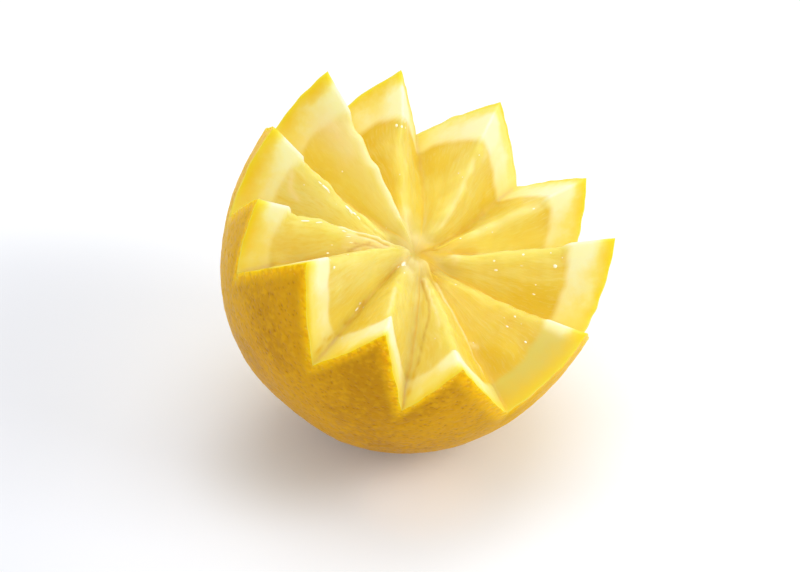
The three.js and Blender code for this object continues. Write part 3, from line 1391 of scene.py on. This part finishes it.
    def build(self, name: str, finishes: Sequence[bpy.types.Material]) -> bpy.types.Object:
        """Make the half, with what its finishes need kept on its points.

        Args:
            name: The object's name.
            finishes: Its materials, in the order of Face.

        Returns:
            The new object.
        """
        columns = self.columns()
        skin, rim_gap = self.skin_points(columns)
        azimuth, share = self.cut_places(columns)
        cut, shades = self.surface.lay(azimuth, share)
        skin += self.wobble(skin, 1 - smooth(rim_gap, 0, self.skin_waves_reach))
        cut += self.wobble(cut, 1 - smooth(self.skin_gap(azimuth, share), 0, self.cut_waves_reach))
        mesh = self.mesh(name, columns, skin, cut)
        for material in finishes:
            mesh.materials.append(material)
        self.mark_skin(mesh, columns, rim_gap)
        self.mark_cut(mesh, azimuth, share, cut)
        for shade, strength in shades.items():
            self.keep(mesh, shade.value, self.pad(strength, 1 + len(skin), 0))
        mesh.validate()
        return add_object(name, mesh)

    @staticmethod
    def pad(values: Array, before: int, middle: float) -> Array:
        """Give the skin's points nothing and the middle of the cut its own value.

        Args:
            values: One value for each point of the cut's rings.
            before: How many points come before them.
            middle: The value at the middle of the cut.

        Returns:
            One value for each point of the mesh.
        """
        return np.concatenate([np.zeros(before), values, [middle]])

    @staticmethod
    def keep(mesh: bpy.types.Mesh, name: str, values: Array) -> None:
        """Keep one number for each point.

        Args:
            mesh: The mesh.
            name: The attribute's name.
            values: The numbers.
        """
        kept = mesh.attributes.new(name, "FLOAT", "POINT")
        kept.data.foreach_set("value", values.astype(np.float32))

    @staticmethod
    def keep_ways(mesh: bpy.types.Mesh, name: str, ways: Array) -> None:
        """Keep one vector for each point.

        Args:
            mesh: The mesh.
            name: The attribute's name.
            ways: The vectors, one a row.
        """
        kept = mesh.attributes.new(name, "FLOAT_VECTOR", "POINT")
        kept.data.foreach_set("vector", ways.astype(np.float32).ravel())

    @staticmethod
    def faces(count: int, rows: int, skin_rows: int) -> tuple[list[tuple[int, ...]], Array]:
        """Join the points, from the blossom end over the rim to the middle of the cut.

        Args:
            count: How many columns there are.
            rows: How many rows there are in all.
            skin_rows: How many of them belong to the skin.

        Returns:
            The faces, turned outward, and the finish of each.
        """
        column = np.arange(count)
        after = (column + 1) % count
        faces: list[tuple[int, ...]] = []
        finish: list[int] = []
        for a, b in zip(column, after):
            faces.append((0, int(1 + b), int(1 + a)))
            finish.append(Face.SKIN.value)
        for row in range(rows - 1):
            low, high = 1 + row * count, 1 + (row + 1) * count
            kind = Face.SKIN if row < skin_rows - 1 else Face.CUT
            for a, b in zip(column, after):
                faces.append((int(low + a), int(low + b), int(high + b), int(high + a)))
                finish.append(kind.value)
        last, middle = 1 + (rows - 1) * count, 1 + rows * count
        for a, b in zip(column, after):
            faces.append((int(last + a), int(last + b), int(middle)))
            finish.append(Face.CUT.value)
        return faces, np.array(finish)


class GeometryTool:
    """A geometry node group with named inputs, run once on an object and then taken off."""

    title = "tool"

    def __init__(self) -> None:
        """Make the group with its geometry sockets."""
        self.group = bpy.data.node_groups.new(self.title, "GeometryNodeTree")
        self.graph = Graph(self.group)
        face = self.group.interface
        face.new_socket("Geometry", in_out="INPUT", socket_type="NodeSocketGeometry")
        face.new_socket("Geometry", in_out="OUTPUT", socket_type="NodeSocketGeometry")
        self.start = self.graph.add("NodeGroupInput")
        self.end = self.graph.add("NodeGroupOutput")

    def ask(self, name: str) -> bpy.types.NodeSocket:
        """Add a named number to the group's inputs.

        Args:
            name: The input's name.

        Returns:
            The output that carries it inside the group.
        """
        self.group.interface.new_socket(name, in_out="INPUT", socket_type="NodeSocketFloat")
        return self.start.outputs[name]

    def named(self, name: str, kind: str = "FLOAT") -> bpy.types.NodeSocket:
        """Read an attribute of the mesh.

        Args:
            name: The attribute's name.
            kind: Its type.

        Returns:
            The attribute's output.
        """
        inputs = {"Name": name}
        return self.graph.add("GeometryNodeInputNamedAttribute", inputs, data_type=kind).outputs[0]

    def lift(self, height: bpy.types.NodeSocket) -> None:
        """Move each point along its normal, as the group's last step.

        Args:
            height: How far, in metres.
        """
        normal = self.graph.add("GeometryNodeInputNormal").outputs[0]
        offset = self.graph.scaled(normal, height)
        inputs = {"Geometry": self.start.outputs[0], "Offset": offset}
        self.finish(self.graph.add("GeometryNodeSetPosition", inputs))

    def finish(self, last: bpy.types.Node) -> None:
        """Send what the last node makes out of the group."""
        self.graph.feed(self.end, {0: last.outputs[0]})

    def run(self, piece: bpy.types.Object, **values: float) -> None:
        """Run the group on a piece and keep the result as a plain mesh.

        Args:
            piece: The piece.
            **values: All of the group's numbers, by name in small letters.
        """
        modifier = piece.modifiers.new(self.title, "NODES")
        modifier.node_group = self.group
        for item in self.group.interface.items_tree:
            if item.in_out == "INPUT" and item.name.lower() in values:
                modifier[item.identifier] = values[item.name.lower()]
        view = bpy.context.evaluated_depsgraph_get()
        settings = {"preserve_all_data_layers": True, "depsgraph": view}
        made = bpy.data.meshes.new_from_object(piece.evaluated_get(view), **settings)
        piece.modifiers.clear()
        old = piece.data
        piece.data = made
        bpy.data.meshes.remove(old)


class SkinRelief(GeometryTool):
    """Rolls the skin a little and sinks a dimple over each cluster of oil glands."""

    title = "skin_relief"

    def __init__(self) -> None:
        """Build the group."""
        super().__init__()
        graph = self.graph
        spacing, depth, swell = self.ask("Spacing"), self.ask("Depth"), self.ask("Swell")
        place = graph.add("GeometryNodeInputPosition").outputs[0]
        inputs = {"Vector": place, "Scale": graph.math("DIVIDE", 1.0, spacing)}
        cells = graph.add("ShaderNodeTexVoronoi", inputs)
        dimple = graph.ramp(cells.outputs["Distance"], 0.1, 0.6, 1, 0)
        skin = graph.math("SUBTRACT", 1.0, self.named("cut"))
        mask = graph.times(skin, graph.ramp(self.named("rim_gap"), 0.1, 1.2))
        rolls = graph.mixed((graph.noise(place, 110, 1), 1.0), (graph.noise(place, 430, 1), 0.6))
        rolls = graph.times(graph.math("SUBTRACT", rolls, 0.8), swell)
        height = graph.math("SUBTRACT", rolls, graph.times(dimple, depth))
        self.lift(graph.times(height, mask))


class SacRelief(GeometryTool):
    """Raises the long juice sacs of the pulp, which run out from the core."""

    title = "pulp_sacs"

    def __init__(self) -> None:
        """Build the group."""
        super().__init__()
        graph = self.graph
        height, density = self.ask("Height"), self.ask("Density")
        grain = self.named("grain", "FLOAT_VECTOR")
        inputs = {"Vector": grain, "Scale": density, "Randomness": 0.9}
        cells = graph.add("ShaderNodeTexVoronoi", inputs, feature="SMOOTH_F1")
        sac = graph.ramp(cells.outputs["Distance"], 0.1, 0.75, 1, 0)
        there = graph.times(self.named("pulp"), graph.ramp(self.named("share"), 0.05, 0.25))
        self.lift(graph.times(sac, there, height))


@dataclass(frozen=True)
class Drop:
    """One drop of juice on the cut, drawn out along the segment where it is a streak."""

    azimuth: float
    share: float
    radius: float
    stretch: float = 1.0


@dataclass
class JuiceDrops:
    """The drops and wet streaks of juice that stand on the cut.

    The drops of the list lie where they are told, and the strewn ones lie anywhere on the pulp.
    Two short steps, outward and round, find the way that the cut faces under each drop.
    """

    surface: CutSurface
    pose: Pose
    drops: tuple[Drop, ...] = (
        Drop(1.5, 0.73, 0.36),
        Drop(3, 0.42, 0.23, 1.3),
        Drop(-1, 0.44, 0.2, 1.8),
        Drop(5, 0.56, 0.2, 1.3),
        Drop(4, 0.76, 0.22),
        Drop(5.5, 0.7, 0.17),
        Drop(-4, 0.66, 0.2, 1.3),
        Drop(30, 0.47, 0.17),
        Drop(69, 0.7, 0.22),
        Drop(-36, 0.64, 0.15, 1.6),
        Drop(-40, 0.64, 0.14, 2),
        Drop(-41, 0.77, 0.16, 1.6),
        Drop(-48, 0.68, 0.17),
        Drop(-35, 0.28, 0.2),
        Drop(144, 0.57, 0.2),
        Drop(107, 0.71, 0.25, 1.3),
        Drop(106, 0.55, 0.16, 2),
        Drop(-121, 0.55, 0.15, 2.5),
        Drop(-104, 0.25, 0.16, 1.5),
        Drop(-116, 0.21, 0.2, 1.4),
        Drop(-112, 0.18, 0.3, 2),
        Drop(-106, 0.18, 0.2),
        Drop(-134.5, 0.78, 0.26),
        Drop(-164.7, 0.46, 0.16, 3),
        Drop(-163, 0.43, 0.14, 4),
        Drop(-161.5, 0.4, 0.12, 4),
        Drop(-120.2, 0.59, 0.14, 4),
        Drop(-118, 0.55, 0.12, 3),
        Drop(-130, 0.78, 0.12, 3),
        Drop(-117.2, 0.76, 0.12, 3),
        Drop(-117, 0.81, 0.12, 3),
        Drop(-158.2, 0.52, 0.14, 2),
        Drop(-54, 0.59, 0.12, 4),
        Drop(-38.5, 0.6, 0.1, 2.5),
        Drop(-37, 0.69, 0.1, 2),
        Drop(-33, 0.7, 0.1, 2),
        Drop(1, 0.56, 0.12, 5),
        Drop(-3, 0.6, 0.1, 4),
        Drop(105, 0.7, 0.2, 1.8),
        Drop(101.5, 0.72, 0.17, 2),
        Drop(103.5, 0.73, 0.13, 3),
        Drop(103, 0.7, 0.1, 2),
        Drop(-188.3, 0.64, 0.18, 5),
        Drop(-188.3, 0.61, 0.19, 6),
        Drop(-188.2, 0.58, 0.18, 6),
        Drop(-188.1, 0.55, 0.17, 6),
        Drop(-188.0, 0.52, 0.16, 6),
        Drop(-188.4, 0.49, 0.18, 5),
        Drop(-188.7, 0.45, 0.26, 2.5),
        Drop(-188.1, 0.42, 0.28, 2),
        Drop(-188.9, 0.4, 0.22, 2.5),
        Drop(-187.5, 0.41, 0.18, 2),
        Drop(-188.5, 0.37, 0.18, 3),
        Drop(-165.3, 0.7, 0.14, 6),
        Drop(-165.4, 0.62, 0.12, 5),
    )
    strewn: int = 90
    seed: int = 21
    strewn_radius: tuple[float, float] = (0.06, 0.13)
    strewn_stretch: tuple[float, float] = (1.0, 2.5)
    strewn_area: tuple[float, float] = (0.02, 0.7)
    ridge_spread: float = 2.5
    least_pulp: float = 0.9
    squat: float = 0.6
    probe_share: float = 0.01
    probe_turn: float = 0.4

    def strew(self) -> list[Drop]:
        """Scatter small drops over the pulp, half of them along the ridges.

        Returns:
            The drops.
        """
        rng = np.random.default_rng(self.seed)
        crown = self.surface.crown
        start = crown.folds[0].azimuth
        ridges = [f.azimuth for f in crown.folds if f.height > 0]
        made: list[Drop] = []
        while len(made) < self.strewn:
            azimuth = rng.uniform(start, start + 360)
            share = math.sqrt(rng.uniform(*self.strewn_area))
            if len(made) % 2:
                azimuth = rng.choice(ridges) + rng.normal(0, self.ridge_spread)
            if crown.pulp_share(np.array([azimuth]), np.array([share]))[0] > self.least_pulp:
                radius = rng.uniform(*self.strewn_radius)
                made.append(Drop(azimuth, share, radius, rng.uniform(*self.strewn_stretch)))
        return made

    def build(self, name: str, finish: bpy.types.Material) -> bpy.types.Object:
        """Make the drops as one piece.

        Args:
            name: The object's name.
            finish: Its material.

        Returns:
            The new object.
        """
        drops = [*self.drops, *self.strew()]
        turns = np.array([d.azimuth for d in drops])
        outs = np.array([d.share for d in drops])
        here, _ = self.surface.lay(turns, outs)
        along = self.surface.lay(turns, outs + self.probe_share)[0] - here
        ways = np.cross(along, self.surface.lay(turns + self.probe_turn, outs)[0] - here)
        mesh = bpy.data.meshes.new(name)
        mesh.from_pydata(self.pose.lay(here).tolist(), [], [])
        LemonHalf.keep(mesh, "size", np.array([d.radius for d in drops]) * MM)
        LemonHalf.keep(mesh, "stretch", np.array([d.stretch for d in drops]))
        LemonHalf.keep_ways(mesh, "way", self.pose.turned(ways))
        LemonHalf.keep_ways(mesh, "along", self.pose.turned(along))
        piece = add_object(name, mesh)
        DropSpread(finish).run(piece, squat=self.squat)
        return piece


class DropSpread(GeometryTool):
    """Stands a small ball on each point, turned to the surface under it."""

    title = "juice_drops"

    def __init__(self, finish: bpy.types.Material) -> None:
        """Build the group.

        Args:
            finish: The drops' material.
        """
        super().__init__()
        graph = self.graph
        squat = self.ask("Squat")
        ball = graph.add("GeometryNodeMeshIcoSphere", {"Radius": 1.0, "Subdivisions": 3})
        smoothed = graph.add("GeometryNodeSetShadeSmooth", {"Geometry": ball.outputs[0]})
        up, along = self.named("way", "FLOAT_VECTOR"), self.named("along", "FLOAT_VECTOR")
        axes = {"primary_axis": "Z", "secondary_axis": "X"}
        turn = graph.add("FunctionNodeAxesToRotation", {0: up, 1: along}, **axes)
        size = self.named("size")
        length, height = graph.times(size, self.named("stretch")), graph.times(size, squat)
        scale = graph.add("ShaderNodeCombineXYZ", {"X": length, "Y": size, "Z": height})
        inputs = {
            "Points": self.start.outputs[0],
            "Instance": smoothed.outputs[0],
            "Rotation": turn.outputs[0],
            "Scale": scale.outputs[0],
        }
        placed = graph.add("GeometryNodeInstanceOnPoints", inputs)
        real = graph.add("GeometryNodeRealizeInstances", {"Geometry": placed.outputs[0]})
        inputs = {"Geometry": real.outputs[0], "Material": finish}
        self.finish(graph.add("GeometryNodeSetMaterial", inputs))


@dataclass(frozen=True)
class Lamp:
    """One square lamp that faces the fruit, with angles in degrees and lengths in metres.

    Its level is how bright a white surface that faces it comes out.
    """

    name: str
    azimuth: float
    elevation: float
    distance: float
    width: float
    level: float

    def hang(self, focus: tuple[float, float, float]) -> None:
        """Hang the lamp.

        Args:
            focus: The place that it faces.
        """
        turn, rise = math.radians(self.azimuth), math.radians(self.elevation)
        flat = math.cos(rise)
        way = Vector((math.cos(turn) * flat, math.sin(turn) * flat, math.sin(rise)))
        light = bpy.data.lights.new(self.name, "AREA")
        light.shape = "SQUARE"
        light.size = self.width
        light.energy = self.level * (math.pi * self.distance) ** 2
        lamp = add_object(self.name, light)
        lamp.location = Vector(focus) + way * self.distance
        lamp.rotation_mode = "QUATERNION"
        lamp.rotation_quaternion = way.to_track_quat("Z", "Y")


@dataclass(frozen=True)
class PaintedPool:
    """A round patch of the floor, in metres, painted with shadow or light towards its middle."""

    middle: tuple[float, float, float]
    reach: float
    strength: float
    tone: Colour


@dataclass
class Studio:
    """A white seamless surface, a soft key lamp from the right, a wide one above, and the camera.

    A shadow band is painted on the surface to the fruit's left. Close under the fruit a warm shadow
    pool and a bright pool of light are painted on it.
    """

    focus: tuple[float, float, float] = (0.0, 0.0, 0.034)
    lamps: tuple[Lamp, ...] = (
        Lamp("key", -17, 33, 0.6, 0.28, 0.34),
        Lamp("top", 80, 75, 0.8, 0.7, 0.4),
        Lamp("fill", 205, 50, 0.7, 0.5, 0.05),
    )
    sky_level: float = 0.68
    floor_half: float = 3.0
    floor_near: Colour = (0.87, 0.9, 0.94)
    floor_far: Colour = (0.88, 0.9, 0.93)
    # Painted shadow band to the fruit's left.
    floor_painted_shadow: Colour = (0.76, 0.78, 0.83)
    floor_bounce: Colour = (0.8, 0.8, 0.8)
    floor_lift: float = 0.09
    patch_core: float = 0.003
    painted_pools: tuple[PaintedPool, ...] = (
        # A warm painted shadow pool to the fruit's front left.
        PaintedPool((-0.021, -0.013, 0), 0.021, 0.5, (0.6, 0.585, 0.54)),
        # A painted pool of light just in front of the fruit.
        PaintedPool((0.001, -0.021, 0), 0.014, 0.8, (1, 1, 1)),
    )
    camera_place: tuple[float, float, float] = (-0.00253, -0.29512, 0.2416)
    camera_tilt: float = 54.0
    lens: float = 100.0
    sensor_width: float = 36.0
    nearest_seen: float = 0.01

    @staticmethod
    def plain(graph: Graph) -> bpy.types.NodeSocket:
        """Tell the rays that see the white surroundings from those that only carry light.

        Args:
            graph: The material's or the world's graph.

        Returns:
            1 for what is seen, mirrored or looked through, else 0.
        """
        path = graph.add("ShaderNodeLightPath").outputs
        seen = graph.math("MAXIMUM", path["Is Camera Ray"], path["Is Glossy Ray"])
        return graph.math("MAXIMUM", seen, path["Is Transmission Ray"])

    def sky(self) -> None:
        """Light everything a little from all round, before plain white."""
        world = bpy.data.worlds.new("sky")
        world.use_nodes = True
        bpy.context.scene.world = world
        graph = Graph(world.node_tree)
        world.node_tree.nodes.clear()
        white = (1, 1, 1, 1)
        soft = graph.add("ShaderNodeBackground", {"Color": white, "Strength": self.sky_level})
        plain = graph.add("ShaderNodeBackground", {"Color": white, "Strength": 1.0})
        inputs = {0: self.plain(graph), 1: soft.outputs[0], 2: plain.outputs[0]}
        both = graph.add("ShaderNodeMixShader", inputs)
        graph.add("ShaderNodeOutputWorld", {"Surface": both.outputs[0]})

    def floor_colour(self, graph: Graph) -> bpy.types.NodeSocket:
        """Tone the floor round the fruit, with its painted shadow band and painted pools of shadow and
        light.

        Args:
            graph: The floor's graph.

        Returns:
            The colour's output.
        """
        place = graph.place()
        far = graph.ramp(graph.length(place), 0.03, 0.09)
        colour = graph.blend(far, self.floor_near, self.floor_far)
        side = graph.add("ShaderNodeSeparateXYZ", {"Vector": place}).outputs
        # Painted shadow band to the fruit's left.
        left = graph.ramp(side["X"], -0.075, -0.01, 1, 0)
        painted_shadow_band = graph.times(left, graph.ramp(side["Y"], 0.04, 0.07, 1, 0))
        colour = graph.blend(painted_shadow_band, colour, self.floor_painted_shadow)
        # Painted pools of shadow and light.
        for patch in self.painted_pools:
            gap = graph.length(graph.vector("SUBTRACT", place, patch.middle))
            near = graph.ramp(gap, self.patch_core, patch.reach, patch.strength, 0)
            colour = graph.blend(near, colour, patch.tone)
        return colour

    def floor(self) -> bpy.types.Object:
        """Lay the surface that the half lies on.

        Returns:
            The floor.
        """
        material, graph, shader = new_material("white_surface")
        material.node_tree.nodes.remove(shader)
        bounce = graph.add("ShaderNodeBsdfDiffuse", {"Color": (*self.floor_bounce, 1)})
        bright = graph.add("ShaderNodeBsdfDiffuse", {"Color": self.floor_colour(graph)})
        inputs = {"Color": (1, 1, 1, 1), "Strength": self.floor_lift}
        lift = graph.add("ShaderNodeEmission", inputs)
        seen = graph.add("ShaderNodeAddShader", {0: bright.outputs[0], 1: lift.outputs[0]})
        inputs = {0: self.plain(graph), 1: bounce.outputs[0], 2: seen.outputs[0]}
        both = graph.add("ShaderNodeMixShader", inputs)
        output = next(n for n in material.node_tree.nodes if n.type == "OUTPUT_MATERIAL")
        graph.feed(output, {0: both.outputs[0]})
        mesh = bpy.data.meshes.new("white_floor")
        half = self.floor_half
        square = [(-half, -half, 0), (half, -half, 0), (half, half, 0), (-half, half, 0)]
        mesh.from_pydata(square, [], [(0, 1, 2, 3)])
        mesh.materials.append(material)
        return add_object("white_floor", mesh)

    def camera(self) -> None:
        """Set up the camera in front, looking down at the cut."""
        data = bpy.data.cameras.new("camera")
        data.lens = self.lens
        data.sensor_width = self.sensor_width
        data.clip_start = self.nearest_seen
        camera = add_object("camera", data)
        camera.location = self.camera_place
        camera.rotation_euler = Euler((math.radians(self.camera_tilt), 0, 0))
        bpy.context.scene.camera = camera

    def build(self) -> None:
        """Set up everything that isn't part of the fruit."""
        self.sky()
        self.floor()
        for lamp in self.lamps:
            lamp.hang(self.focus)
        self.camera()


def attach(piece: bpy.types.Object) -> None:
    """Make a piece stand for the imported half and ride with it.

    Args:
        piece: The piece.
    """
    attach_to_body(piece, "root")
    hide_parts("lemon_half")


def main() -> None:
    """Build the fruit, its studio and the camera."""
    logging.basicConfig(level=logging.INFO, format="%(name)s: %(message)s")
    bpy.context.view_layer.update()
    skin = Skin()
    surface = CutSurface(Crown(skin))
    pose = Pose()

    finishes = (PeelFinish().material(), FleshFinish().material())
    half = LemonHalf(skin, surface, pose).build("lemon_fruit", finishes)
    SkinRelief().run(half, spacing=1.6 * MM, depth=0.12 * MM, swell=0.32 * MM)
    SacRelief().run(half, height=0.14 * MM, density=2.2)
    attach(half)
    log.info("half: %d faces", len(half.data.polygons))

    drops = JuiceDrops(surface, pose).build("juice_drops", JuiceFinish().material())
    attach(drops)
    log.info("drops: %d faces", len(drops.data.polygons))

    Studio().build()
    bpy.context.scene.view_settings.view_transform = "Standard"


if __name__ == "__main__":
    main()
